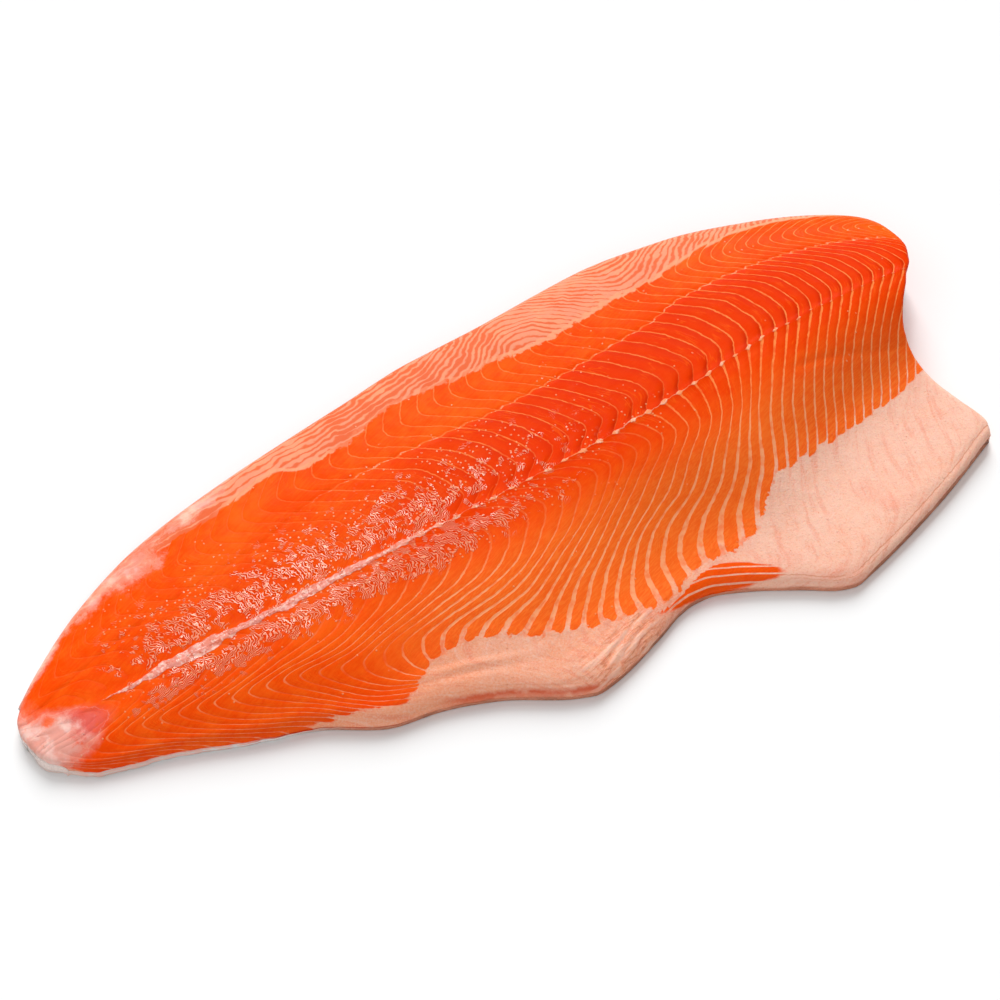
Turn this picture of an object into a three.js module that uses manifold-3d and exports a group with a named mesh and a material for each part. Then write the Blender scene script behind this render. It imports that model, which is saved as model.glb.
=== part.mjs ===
// Raw salmon fillet: one whole side of the fish, boned out and laid skin down. It is a single
// piece of food, so it is one closed solid: a flat underside, a loin ridge that runs the length
// of the side, a thin belly flap, and the faint ridges of the muscle flakes over all of it.
//
// X runs from the tail to the head end, Y from the belly edge to the back edge, Z is up.

import * as THREE from 'three';
import { mergeVertices } from 'three/addons/utils/BufferGeometryUtils.js';
import loadManifold from 'manifold-3d';

// ---- Driving dimensions, in mm ------------------------------------------------------------

// Outline of the side, as [along, across] stations from the tail.
const BACK_EDGE = [
  [9, 19.5], [26, 33], [60, 54.7], [106, 73.5], [160, 84.5], [240, 94], [286, 98.6], [320, 98.6],
  [390, 100.6], [446, 93.5], [492, 78.5], [533, 57.4], [547, 46], [553, 37],
];
const BELLY_EDGE = [
  [14, -23], [25, -30.6], [64, -43.2], [101, -58.4], [130, -68.5], [165, -88], [187, -92],
  [216, -102.5], [251, -122.7], [262, -126.3], [270, -125.4], [306, -115], [322, -109], [331, -107.5],
  [340, -108], [356, -114], [384, -130], [402, -141.2], [410, -143.2], [418, -141.6],
  [477, -124.6], [524, -106.5],
];
const MIDLINE = [[0, -1], [100, -5], [200, -8], [330, -12], [387, -10.5], [444, -5], [500, -4], [560, -6]];

// Where the two ends are cut, as [place, along]: place is -1 at the belly edge, 0 on the
// midline and 1 at the back edge.
const TAIL_CUT = [[-1, 15], [-0.7, 8], [-0.3, 4.5], [0.2, 3], [0.6, 4.7], [1, 10]];
const HEAD_CUT = [
  [-1, 524], [-0.92, 526.5], [-0.75, 523], [-0.55, 519], [-0.4, 518],
  [-0.28, 519.5], [-0.16, 527], [-0.06, 536], [0.1, 546.5], [0.5, 553], [1, 552],
];

// Thickness, as [along, height] stations.
const LOIN_HEIGHT = [[0, 8], [40, 13], [150, 21], [300, 28.5], [420, 36], [480, 37], [530, 34], [560, 29]];
const FLAP_HEIGHT = [[0, 5], [120, 7], [250, 9], [400, 9], [525, 11]];
const BACK_RIM_HEIGHT = [[0, 5], [100, 7], [300, 11], [460, 15], [560, 19]];
const BELLY_RIM_HEIGHT = [[0, 3], [150, 4], [300, 4.5], [400, 5], [525, 8]];

// The slope from the loin down to the belly flap: where its middle is and how wide it is, both
// as a share of the way from the midline to the belly edge.
const SLOPE_PLACE = [[0, 0.85], [120, 0.72], [250, 0.55], [400, 0.42], [480, 0.3], [525, 0.28]];
const SLOPE_WIDTH = [[0, 0.5], [250, 0.45], [400, 0.32], [480, 0.22], [525, 0.19]];
const SLOPE_SHARPNESS = 0.35;

const BACK_CURVE = 3.2; // how late the loin turns down towards the back edge
const BACK_FULLNESS = 0.62;
const RIM_ROUNDING = 0.12; // share of the belly side that rounds down to its rim

const SKIN_LIFT_BACK = 4; // how far the skin lifts off the board along the two edges
const SKIN_LIFT_BELLY = 0.8;
const LIFT_START = 0.78;

// ---- Muscle flakes ------------------------------------------------------------------------

// Each flake ends at a sheet of connective tissue that crosses the side as a W. A row gives the
// place across the side, then how far the sheet has shifted towards the head there, for sheets
// that meet the midline at the distances in SHEET_AT.
const SHEET_AT = [60, 205, 305, 365, 444];
const SHEET_SHIFT = [
  [-1.0, -8, -10, -48, -82, -92],
  [-0.78, -24, -42, -61, -68, -72],
  [-0.6, -29, -61, -60, -49, -54],
  [-0.43, -16, -22, -25, -25, -42],
  [-0.3, -2, 7, 6, -10, -32],
  [-0.15, 8, 19, 20, 6, -16],
  [0.0, 0, 0, 0, 0, 0],
  [0.1, 6, 10, 10, 7, 4],
  [0.3, 0, 2, 2, -7, -1],
  [0.46, -14, -20, -14, -22, -18],
  [0.64, -24, -38, -35, -38, -36],
  [0.78, -18, -26, -26, -26, -22],
  [1.0, -4, -4, -8, -8, -4],
];
const FLAKE_PITCH = [[0, 12.5], [200, 11], [300, 10.6], [390, 10], [450, 8.6], [490, 7], [560, 6.6]];
const FLAKE_RELIEF = 0.8; // from the groove over a sheet to the crest of the flake
const RUN_OUT = [-50, 645]; // the flakes run past both ends, which are then cut to shape
const OVERHANG = 1.04; // and past both edges, as a share of the way from the midline

// ---- Mesh density -------------------------------------------------------------------------

const COLUMNS = 24; // across the top
const UNDER_PLACES = [OVERHANG, 0.93, 0.78, 0.3, -0.25, -0.78, -0.93, -OVERHANG];
const END_STEPS = 16; // along each end cut
const EDGE_STEPS = 64; // along each edge
const PRISM_HEIGHT = 120;
const SMALLEST_EDGE = 0.02; // slivers left by the cut, below this, are merged away

// ---- Small helpers ------------------------------------------------------------------------

const clamp = (value, low, high) => Math.min(Math.max(value, low), high);
const mix = (a, b, t) => a + (b - a) * t;

// Slope of a smooth curve at one station, kept flat at peaks and dips so it never overshoots.
function stationSlope(stations, i) {
  const rise = (k) => (stations[k + 1][1] - stations[k][1]) / (stations[k + 1][0] - stations[k][0]);
  if (i === 0) return rise(0);
  if (i === stations.length - 1) return rise(i - 1);
  const before = rise(i - 1);
  const after = rise(i);
  if (before * after <= 0) return 0;
  const gapBefore = stations[i][0] - stations[i - 1][0];
  const gapAfter = stations[i + 1][0] - stations[i][0];
  const weightBefore = 2 * gapAfter + gapBefore;
  const weightAfter = gapAfter + 2 * gapBefore;
  return (weightBefore + weightAfter) / (weightBefore / before + weightAfter / after);
}

// Smooth curve through [position, value] stations.
function through(stations, position) {
  const last = stations.length - 1;
  const p = clamp(position, stations[0][0], stations[last][0]);
  let i = 0;
  while (i < last - 1 && p > stations[i + 1][0]) i += 1;
  const gap = stations[i + 1][0] - stations[i][0];
  const t = (p - stations[i][0]) / gap;
  const startSlope = stationSlope(stations, i) * gap;
  const endSlope = stationSlope(stations, i + 1) * gap;
  return (2 * t ** 3 - 3 * t ** 2 + 1) * stations[i][1]
    + (t ** 3 - 2 * t ** 2 + t) * startSlope
    + (3 * t ** 2 - 2 * t ** 3) * stations[i + 1][1]
    + (t ** 3 - t ** 2) * endSlope;
}

// ---- The form of the side -----------------------------------------------------------------

// Across position for a place on the side at a distance along it.
function across(along, place) {
  const middle = through(MIDLINE, along);
  if (place >= 0) return mix(middle, through(BACK_EDGE, along), place);
  return mix(middle, through(BELLY_EDGE, along), -place);
}

function backHeight(along, place) {
  const rim = through(BACK_RIM_HEIGHT, along);
  const loin = through(LOIN_HEIGHT, along);
  return mix(rim, loin, (1 - Math.min(place, 1) ** BACK_CURVE) ** BACK_FULLNESS);
}

// Falls from 1 on the midline to 0 on the flap.
function bellySlope(along, out) {
  const middle = through(SLOPE_PLACE, along);
  const width = through(SLOPE_WIDTH, along) * SLOPE_SHARPNESS;
  const fall = (at) => 1 / (1 + Math.exp((at - middle) / width));
  return fall(out) / fall(0);
}

function bellyHeight(along, place) {
  const out = -place;
  const flap = through(FLAP_HEIGHT, along);
  const rim = through(BELLY_RIM_HEIGHT, along);
  const height = mix(flap, through(LOIN_HEIGHT, along), bellySlope(along, out));
  const inFromRim = clamp((1 - out) / RIM_ROUNDING, 0, 1);
  return mix(rim, height, Math.sqrt(1 - (1 - inFromRim) ** 2));
}

function topHeight(along, place) {
  return place >= 0 ? backHeight(along, place) : bellyHeight(along, place);
}

function underHeight(place) {
  const lift = place > 0 ? SKIN_LIFT_BACK : SKIN_LIFT_BELLY;
  const out = clamp((Math.abs(place) - LIFT_START) / (1 - LIFT_START), 0, 1);
  return lift * out ** 2;
}

// ---- Flake rows ---------------------------------------------------------------------------

// How far a sheet that meets the midline at sheetAt has shifted towards the head at a place.
function sheetShift(sheetAt, place) {
  const last = SHEET_AT.length - 1;
  const at = clamp(sheetAt, SHEET_AT[0], SHEET_AT[last]);
  let i = 0;
  while (i < last - 1 && at > SHEET_AT[i + 1]) i += 1;
  const shiftOf = (k) => through(SHEET_SHIFT.map((row) => [row[0], row[k + 1]]), place);
  return mix(shiftOf(i), shiftOf(i + 1), (at - SHEET_AT[i]) / (SHEET_AT[i + 1] - SHEET_AT[i]));
}

// Where the grooves and crests cross the midline: a groove, a crest, a groove and so on.
function rowStarts() {
  const starts = [];
  for (let at = RUN_OUT[0]; at < RUN_OUT[1]; at += through(FLAKE_PITCH, at) / 2) starts.push(at);
  return starts;
}

// One closed ring of points: over the top from belly to back, then back under the skin.
function flakeRing(sheetAt, isCrest) {
  const ring = [];
  const relief = isCrest ? FLAKE_RELIEF / 2 : -FLAKE_RELIEF / 2;
  for (let i = 0; i <= COLUMNS; i += 1) {
    const place = mix(-OVERHANG, OVERHANG, i / COLUMNS);
    const along = sheetAt + sheetShift(sheetAt, place);
    const fade = Math.max(1 - place ** 8, 0);
    ring.push([along, across(along, place), topHeight(along, place) + relief * fade]);
  }
  for (const place of UNDER_PLACES) {
    const along = sheetAt + sheetShift(sheetAt, place);
    ring.push([along, across(along, place), underHeight(place)]);
  }
  return ring;
}

// Triangles between neighbouring rings, and a zigzag of them over each end ring.
function ringTriangles(ringCount, size) {
  const triangles = [];
  for (let r = 0; r + 1 < ringCount; r += 1) {
    for (let i = 0; i < size; i += 1) {
      const a = r * size + i;
      const b = r * size + ((i + 1) % size);
      triangles.push([a, a + size, b], [b, a + size, b + size]);
    }
  }
  const endAt = (ringCount - 1) * size;
  for (const [at, flip] of [[0, false], [endAt, true]]) {
    for (const [a, b, c] of capTriangles(size)) {
      triangles.push(flip ? [at + a, at + c, at + b] : [at + a, at + b, at + c]);
    }
  }
  return triangles;
}

// Closes one ring, working in from both of its ends across the top and the underside.
function capTriangles(size) {
  const triangles = [];
  let low = 0;
  let high = size - 1;
  while (low + 1 < high) {
    const topLeft = COLUMNS - low;
    const underLeft = high - (COLUMNS + 1);
    if (topLeft / COLUMNS >= underLeft / (UNDER_PLACES.length - 1)) {
      triangles.push([low, low + 1, high]);
      low += 1;
    } else {
      triangles.push([low, high - 1, high]);
      high -= 1;
    }
  }
  return triangles;
}

// ---- Solids -------------------------------------------------------------------------------

const library = await loadManifold();
library.setup();
const { Manifold, Mesh: SolidMesh } = library;

function solidFromPoints(points, triangles) {
  return new Manifold(new SolidMesh({
    numProp: 3,
    vertProperties: new Float32Array(points.flat()),
    triVerts: new Uint32Array(triangles.flat()),
  }));
}

function solidFromGeometry(geometry) {
  geometry.deleteAttribute('normal');
  geometry.deleteAttribute('uv');
  const welded = mergeVertices(geometry, 1e-4);
  return new Manifold(new SolidMesh({
    numProp: 3,
    vertProperties: new Float32Array(welded.attributes.position.array),
    triVerts: new Uint32Array(welded.index.array),
  }));
}

function geometryFromSolid(solid) {
  const mesh = solid.getMesh();
  const geometry = new THREE.BufferGeometry();
  geometry.setAttribute('position', new THREE.BufferAttribute(new Float32Array(mesh.vertProperties), 3));
  geometry.setIndex(new THREE.BufferAttribute(new Uint32Array(mesh.triVerts), 1));
  return geometry;
}

function uncutSide() {
  const starts = rowStarts();
  const rings = starts.map((at, i) => flakeRing(at, i % 2 === 1));
  return solidFromPoints(rings.flat(), ringTriangles(rings.length, rings[0].length));
}

// Evenly spaced steps from one value to another.
const steps = (from, to, count) => Array.from({ length: count + 1 }, (_, i) => mix(from, to, i / count));

// The outline of the side as an upright prism.
function outlinePrism() {
  const onEdge = (place, along) => new THREE.Vector2(along, across(along, place));
  const onEnd = (cut, place) => onEdge(place, through(cut, place));
  const [tailBelly, headBelly, tailBack, headBack] = [
    through(TAIL_CUT, -1), through(HEAD_CUT, -1), through(TAIL_CUT, 1), through(HEAD_CUT, 1),
  ];
  const outline = [
    ...steps(tailBelly, headBelly, EDGE_STEPS).slice(0, -1).map((along) => onEdge(-1, along)),
    ...steps(-1, 1, END_STEPS).slice(0, -1).map((place) => onEnd(HEAD_CUT, place)),
    ...steps(headBack, tailBack, EDGE_STEPS).slice(0, -1).map((along) => onEdge(1, along)),
    ...steps(1, -1, END_STEPS).slice(0, -1).map((place) => onEnd(TAIL_CUT, place)),
  ];
  const settings = { depth: PRISM_HEIGHT, bevelEnabled: false };
  const geometry = new THREE.ExtrudeGeometry(new THREE.Shape(outline), settings);
  geometry.translate(0, 0, -PRISM_HEIGHT / 2);
  return solidFromGeometry(geometry);
}

function filletGeometry() {
  const cut = uncutSide().intersect(outlinePrism()).simplify(SMALLEST_EDGE);
  const box = cut.boundingBox();
  const middle = box.min.map((low, i) => (low + box.max[i]) / 2);
  return geometryFromSolid(cut.translate([-middle[0], -middle[1], -box.min[2]]));
}

// ---- Scene --------------------------------------------------------------------------------

const flesh = new THREE.MeshStandardMaterial({ color: 0xf2602a, roughness: 0.35, metalness: 0 });
flesh.name = 'flesh';

const fillet = new THREE.Mesh(filletGeometry(), flesh);
fillet.name = 'fillet';

const salmonFillet = new THREE.Group();
salmonFillet.name = 'raw_salmon_fillet';
salmonFillet.add(fillet);

export default salmonFillet;
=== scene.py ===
# %% [markdown]
# # A raw salmon side
#
# A side is one long muscle, cut off the backbone in one piece and laid skin down. Seen from above it
# has a thick loin along the back, a thin belly flap, a line of pin-bone ends down the middle, and
# flakes of muscle that cross it as a row of Ws. The frame gives the solid; this lesson dresses it as
# two pieces, the flesh and the skin under it, and paints both with procedural materials.

# %% Load the packed frame
import math

import bmesh
import bpy
import numpy as np
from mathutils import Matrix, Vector, noise


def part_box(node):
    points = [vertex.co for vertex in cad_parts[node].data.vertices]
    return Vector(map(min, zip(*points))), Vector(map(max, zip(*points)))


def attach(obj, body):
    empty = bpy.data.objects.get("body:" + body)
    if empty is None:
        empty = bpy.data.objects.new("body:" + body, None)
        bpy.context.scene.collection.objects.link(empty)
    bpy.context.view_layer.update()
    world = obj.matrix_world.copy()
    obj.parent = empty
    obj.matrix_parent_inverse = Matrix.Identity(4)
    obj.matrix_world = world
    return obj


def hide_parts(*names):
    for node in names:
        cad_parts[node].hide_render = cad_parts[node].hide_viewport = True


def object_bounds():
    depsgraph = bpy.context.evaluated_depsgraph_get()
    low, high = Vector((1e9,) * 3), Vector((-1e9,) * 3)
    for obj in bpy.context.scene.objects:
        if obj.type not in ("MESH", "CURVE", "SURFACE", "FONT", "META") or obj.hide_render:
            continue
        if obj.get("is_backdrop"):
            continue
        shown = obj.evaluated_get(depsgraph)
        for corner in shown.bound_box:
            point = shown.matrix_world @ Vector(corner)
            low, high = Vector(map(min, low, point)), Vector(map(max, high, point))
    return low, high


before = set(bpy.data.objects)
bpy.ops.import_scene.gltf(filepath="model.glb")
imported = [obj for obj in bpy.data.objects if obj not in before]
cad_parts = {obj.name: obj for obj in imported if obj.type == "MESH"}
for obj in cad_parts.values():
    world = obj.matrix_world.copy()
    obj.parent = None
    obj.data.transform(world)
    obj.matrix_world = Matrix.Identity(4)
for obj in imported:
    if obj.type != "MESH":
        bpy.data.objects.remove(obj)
cad_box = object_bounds()
low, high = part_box("fillet")
MM = 0.001
print("nodes:", *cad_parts, "- box in mm:", [round((b - a) / MM, 1) for a, b in zip(low, high)])

# %% [markdown]
# ## The outline and the heights
#
# The same few stations that shape the solid are used here, in millimetres from the tail: how far the
# two edges and the midline lie from the axis, where both ends are cut, and how thick the side is. A
# smooth curve goes through each row of stations. It is kept flat at peaks and dips, so that it never
# swings past a station, as a spline would.

# %% Outline stations
BACK_EDGE = [(9, 19.5), (26, 33), (60, 54.7), (106, 73.5), (160, 84.5), (240, 94), (286, 98.6),
             (320, 98.6), (390, 100.6), (446, 93.5), (492, 78.5), (533, 57.4), (547, 46), (553, 37)]
BELLY_EDGE = [(14, -23), (25, -30.6), (64, -43.2), (101, -58.4), (130, -68.5), (165, -88), (187, -92),
              (216, -102.5), (251, -122.7), (262, -126.3), (270, -125.4), (306, -115), (322, -109),
              (331, -107.5), (340, -108), (356, -114), (384, -130), (402, -141.2), (410, -143.2),
              (418, -141.6), (477, -124.6), (524, -106.5)]
MIDLINE = [(0, -1), (100, -5), (200, -8), (330, -12), (387, -10.5), (444, -5), (500, -4), (560, -6)]
LAST_STATION = 560
TAIL_CUT = [(-1, 15), (-0.7, 8), (-0.3, 4.5), (0.2, 3), (0.6, 4.7), (1, 10)]
HEAD_CUT = [(-1, 524), (-0.92, 526.5), (-0.75, 523), (-0.55, 519), (-0.4, 518), (-0.28, 519.5),
            (-0.16, 527), (-0.06, 536), (0.1, 546.5), (0.5, 553), (1, 552)]
print("stations along the two edges:", len(BACK_EDGE), "and", len(BELLY_EDGE))

# %% Height stations
LOIN_HEIGHT = [(0, 8), (40, 13), (150, 21), (300, 28.5), (420, 36), (480, 37), (530, 34), (560, 29)]
FLAP_HEIGHT = [(0, 5), (120, 7), (250, 9), (400, 9), (525, 11)]
BACK_RIM_HEIGHT = [(0, 5), (100, 7), (300, 11), (460, 15), (560, 19)]
BELLY_RIM_HEIGHT = [(0, 3), (150, 4), (300, 4.5), (400, 5), (525, 8)]
SLOPE_PLACE = [(0, 0.85), (120, 0.72), (250, 0.55), (400, 0.42), (480, 0.3), (525, 0.28)]
SLOPE_WIDTH = [(0, 0.5), (250, 0.45), (400, 0.32), (480, 0.22), (525, 0.19)]
SLOPE_SHARPNESS = 0.35
BACK_CURVE = 3.2
BACK_FULLNESS = 0.62
RIM_ROUNDING = 0.12
SKIN_LIFT_BACK = 4
SKIN_LIFT_BELLY = 0.8
LIFT_START = 0.78
print("the loin is", max(height for _, height in LOIN_HEIGHT), "mm high at most")


# %% A smooth curve through stations
def through(stations, at):
    """Value at `at` of the smooth curve through (place, value) stations."""
    x, y = np.array(stations, float).T
    gap, rise = np.diff(x), np.diff(y) / np.diff(x)
    slope = np.concatenate([rise[:1], np.zeros(len(x) - 2), rise[-1:]])
    for i in range(1, len(x) - 1):
        if rise[i - 1] * rise[i] > 0:
            before, after = 2 * gap[i] + gap[i - 1], gap[i] + 2 * gap[i - 1]
            slope[i] = (before + after) / (before / rise[i - 1] + after / rise[i])
    at = np.clip(at, x[0], x[-1])
    i = np.clip(np.searchsorted(x, at) - 1, 0, len(x) - 2)
    t = (at - x[i]) / gap[i]
    return ((2 * t**3 - 3 * t**2 + 1) * y[i] + (t**3 - 2 * t**2 + t) * gap[i] * slope[i]
            + (3 * t**2 - 2 * t**3) * y[i + 1] + (t**3 - t**2) * gap[i] * slope[i + 1])


def mix(a, b, t):
    return a + (b - a) * t


def ease(edge_0, edge_1, value):
    """0 below edge_0, 1 above edge_1, and a smooth step between."""
    t = np.clip((value - edge_0) / (edge_1 - edge_0), 0, 1)
    return t * t * (3 - 2 * t)


def bell(away, reach):
    """1 at zero, falling off smoothly on both sides over about `reach`."""
    return np.exp(-((away / reach) ** 2))


def within(value, start, full, fade, end):
    """0 before `start`, 1 from `full` to `fade`, and 0 again after `end`."""
    return ease(start, full, value) * (1 - ease(fade, end, value))


every_mm = np.arange(LAST_STATION)
side_widths = through(BACK_EDGE, every_mm) - through(BELLY_EDGE, every_mm)
print("widest at", int(np.argmax(side_widths)), "mm")


# %% The form of the side
def across(along, place):
    """Distance from the axis of a place: -1 is the belly edge, 0 the midline and 1 the back edge."""
    middle = through(MIDLINE, along)
    edge = np.where(place >= 0, through(BACK_EDGE, along), through(BELLY_EDGE, along))
    return mix(middle, edge, np.abs(place))


def back_height(along, place):
    fall = (1 - np.clip(place, 0, 1) ** BACK_CURVE) ** BACK_FULLNESS
    return mix(through(BACK_RIM_HEIGHT, along), through(LOIN_HEIGHT, along), fall)


def belly_height(along, place):
    out = np.clip(-place, 0, 1)
    middle, width = through(SLOPE_PLACE, along), through(SLOPE_WIDTH, along) * SLOPE_SHARPNESS
    slope = (1 + np.exp(-middle / width)) / (1 + np.exp((out - middle) / width))
    height = mix(through(FLAP_HEIGHT, along), through(LOIN_HEIGHT, along), slope)
    inside = np.clip((1 - out) / RIM_ROUNDING, 0, 1)
    return mix(through(BELLY_RIM_HEIGHT, along), height, np.sqrt(1 - (1 - inside) ** 2))


def top_height(along, place):
    return np.where(place >= 0, back_height(along, place), belly_height(along, place))


def under_height(place):
    lift = np.where(place > 0, SKIN_LIFT_BACK, SKIN_LIFT_BELLY)
    return lift * np.clip((np.abs(place) - LIFT_START) / (1 - LIFT_START), 0, 1) ** 2


print("half way along, the midline is", round(float(top_height(np.array([275.0]), np.array([0.0]))[0]), 1),
      "mm high")

# %% [markdown]
# ## The flakes
#
# Salmon flesh parts into flakes along thin sheets of connective tissue. A sheet crosses the side as a
# W: it bends towards the head beside the midline, towards the tail further out, and back again near
# the edges. Each row of the table is a place across the side; its numbers say how far the sheet has
# shifted towards the head there, for sheets that meet the midline at the five distances above them.
# Turned round, the same table numbers every point of the side: whole numbers lie on a sheet, and the
# muscle lies between them.

# %% The bend of the sheets
SHEET_AT = [60, 205, 305, 365, 444]
SHEET_SHIFT = [
    (-1.0, 25, 25, -45, -86, -95),
    (-0.9, -10, -8, -52, -74, -68),
    (-0.78, -24, -42, -78, -74, -64),
    (-0.6, -29, -61, -63, -56, -57),
    (-0.43, -16, -22, -25, -25, -42),
    (-0.3, -2, 7, 6, -10, -32),
    (-0.15, 8, 19, 20, 6, -16),
    (-0.05, 4, 9, 11, 3, -5),
    (0.0, 0, 0, 0, 0, 0),
    (0.1, 6, 10, 10, 7, 4),
    (0.3, 0, 2, 2, -7, -1),
    (0.46, -14, -20, -14, -22, -18),
    (0.64, -24, -38, -35, -38, -36),
    (0.78, -18, -26, -26, -26, -22),
    (1.0, 10, 10, 0, 0, 6),
]
FLAKE_PITCH = [(0, 12.5), (200, 11), (300, 10.8), (390, 10), (450, 8.6), (490, 7), (560, 6.6)]
COUNT_FROM = 303.0
COUNT_STEP = 0.5
RUN_OUT = (-120.0, 700.0)


def sheet_shift(sheet_at, place):
    """Shift towards the head, at one place, of the sheets that meet the midline at sheet_at."""
    columns = [through([(row[0], row[k + 1]) for row in SHEET_SHIFT], place) for k in range(len(SHEET_AT))]
    return np.interp(sheet_at, SHEET_AT, columns)


def flake_number(along, place):
    """Number of the flake at each point; whole on a sheet. All of `place` is one value."""
    starts = np.arange(*RUN_OUT, COUNT_STEP)
    numbers = np.cumsum(COUNT_STEP / through(FLAKE_PITCH, starts))
    numbers -= np.interp(COUNT_FROM, starts, numbers)
    reach = np.maximum.accumulate(starts + sheet_shift(starts, place))
    return np.interp(along, reach, numbers)


tail_number, head_number = flake_number(np.array([0.0, LAST_STATION]), 0.0)
print("sheets between the tail and the head:", int(head_number - tail_number))

# %% [markdown]
# ## Where the fat lies
#
# The orange muscle stops at two lines. Towards the back it meets a strip of back fat, and towards the
# belly it ends in rounded fingers in the pale belly fat. Both lines are given as places across the
# side. A third line is the seam half way up the back, where the flakes turn round.

# %% Fat lines and the seam
BACK_FAT = [(0, 0.95), (60, 0.93), (100, 0.86), (146, 0.8), (185, 0.82), (200, 0.73), (225, 0.72),
            (256, 0.77), (283, 0.74), (321, 0.7), (355, 0.66), (409, 0.66), (432, 0.7), (455, 0.76),
            (489, 0.84), (560, 0.95)]
BELLY_FAT = [(0, 1.1), (118, 1.06), (136, 0.99), (152, 0.93), (171, 0.93), (180, 0.89), (189, 0.815),
             (198, 0.735), (222, 0.67), (240, 0.685), (257, 0.715), (267, 0.735), (278, 0.765), (292, 0.83),
             (311, 0.91), (323, 0.94), (336, 0.905), (352, 0.84), (368, 0.785), (380, 0.72), (390, 0.62),
             (398, 0.54), (410, 0.49), (430, 0.49), (488, 0.51), (523, 0.5), (560, 0.5)]
UPPER_SEAM = [(0, 0.42), (146, 0.42), (200, 0.5), (250, 0.47), (300, 0.43), (394, 0.42), (425, 0.465),
              (500, 0.48), (560, 0.45)]


def side_width(along, belly):
    edge = through(BELLY_EDGE if belly else BACK_EDGE, along)
    return np.abs(edge - through(MIDLINE, along))


def inside_belly_fat_line(along, place):
    """Distance in mm from the belly fat line, positive in the muscle."""
    return (through(BELLY_FAT, along) + place) * side_width(along, True)


def inside_back_fat_line(along, place):
    return (through(BACK_FAT, along) - place) * side_width(along, False)


fat_reach = -inside_belly_fat_line(np.array([470.0]), -1.0)[0]
print("belly fat starts", round(float(fat_reach), 1), "mm in from the flap's edge")

# %% [markdown]
# ## The flesh
#
# The flesh could be sculpted by hand, but its relief follows the flakes, so it is worked out instead:
# one fine grid is laid over the side and its points are moved. The grid's middle is the top. Its
# outer cells run down the two edges and the two end cuts, and one face closes it underneath. TAIL_X
# and BELLY_Y are where the solid's box starts, in the millimetres of the stations.

# %% Grid sizes
TOP_CELLS = (420, 180)
WALL_CELLS = 6
UNDER_CELLS = 2
SKIN_THICK = 0.8
FLESH_OVER_SKIN = 0.5
TAIL_X = 3.0
BELLY_Y = -142.9
SEED_STEP = (17.3, 5.1, 9.7)
OCTAVE_FADE, OCTAVE_STEP = 0.6, 2.0


def to_row(along, sideways, height):
    """Millimetres from the tail to metres in the frame."""
    x = low.x + (along - TAIL_X) * MM
    y = low.y + (sideways - BELLY_Y) * MM
    return np.stack([x, y, height * MM + 0 * x], -1)


def grid_steps(position, cells, wall):
    """Grid position -1..1 to 0..1 over the middle cells, and the cells past the first and last edge."""
    step = np.rint((position + 1) / 2 * (cells + 2 * wall))
    over = np.clip((step - wall) / cells, 0, 1)
    return over, np.clip(wall - step, 0, wall), np.clip(step - cells - wall, 0, wall)


def waves(points, scale, seed, octaves=1):
    """Smooth noise, about -1 to 1; `scale` is how many waves there are to the metre."""
    offset = Vector([step * seed for step in SEED_STEP])
    spots = [Vector(p) * scale + offset for p in points]
    if octaves == 1:
        return np.array([noise.noise(spot) for spot in spots])
    return np.array([noise.fractal(spot, OCTAVE_FADE, OCTAVE_STEP, octaves) for spot in spots])


outer = 2 * (WALL_CELLS + UNDER_CELLS)
print("flesh cells:", TOP_CELLS[0] + outer, "x", TOP_CELLS[1] + outer)


# %% One point of the grid
class Spots:
    """The points of a grid laid over the side, whose outer cells run down the cut edges."""

    def __init__(self, grid, cells, wall, under=0):
        position = np.array([v.co[:2] for v in grid.verts])
        over_u, tail, head = grid_steps(position[:, 0], cells[0], wall + under)
        over_v, belly, back = grid_steps(position[:, 1], cells[1], wall + under)
        self.place = over_v * 2 - 1
        self.along = mix(through(TAIL_CUT, self.place), through(HEAD_CUT, self.place), over_u)
        self.sideways = across(self.along, self.place)
        self.base = to_row(self.along, self.sideways, 0)
        self.side = (back > 0) * 1.0 - (belly > 0)
        self.end = (head > 0) * 1.0 - (tail > 0)
        past = np.max([tail, head, belly, back], axis=0)
        self.down = np.clip(past / wall, 0, 1)
        self.under = np.clip((past - wall) / max(under, 1), 0, 1)
        self.from_end = np.minimum(self.along - through(TAIL_CUT, self.place),
                                   through(HEAD_CUT, self.place) - self.along)


print("a grid point knows its place, its distance along, and how far down an edge it is")

# %% The cut edges
EDGE_WANDER, END_WANDER = 0.8, 0.5
EDGE_WAVES = 70
EDGE_INSET, END_INSET = 0.5, 0.4
BACK_TUCK = 5.0
BELLY_FOOT = [(0, 2.4), (60, 2.0), (105, 0.8), (135, -1.0), (560, -1.0)]
UNDER_REACH = 12.0


def edge_outline(spots, down, out):
    """Places in mm of edge points, `down` 0..1 from the top of the edge, moved outwards by `out`."""
    wander = waves(spots.base, EDGE_WAVES, seed=3, octaves=3) * EDGE_WANDER
    foot = through(BELLY_FOOT, spots.along) * down
    side_foot = np.where(spots.side > 0, -BACK_TUCK * down**2, foot)
    tail_foot = foot * (spots.end < 0) * ease(0, 0.8, -spots.place)
    sideways = spots.sideways + spots.side * (wander - EDGE_INSET + out + side_foot)
    along = spots.along + spots.end * (wander * END_WANDER - END_INSET + out + tail_foot)
    return along, sideways


print("the back edge tucks in by", BACK_TUCK, "mm where the skin curls up")

# %% Lay the grid over the side
flesh_mesh = bmesh.new()
bmesh.ops.create_grid(flesh_mesh, x_segments=TOP_CELLS[0] + outer, y_segments=TOP_CELLS[1] + outer, size=1)
spots = Spots(flesh_mesh, TOP_CELLS, WALL_CELLS, UNDER_CELLS)
along, place, sideways = spots.along, spots.place, spots.sideways
print("grid points:", len(along))

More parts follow.
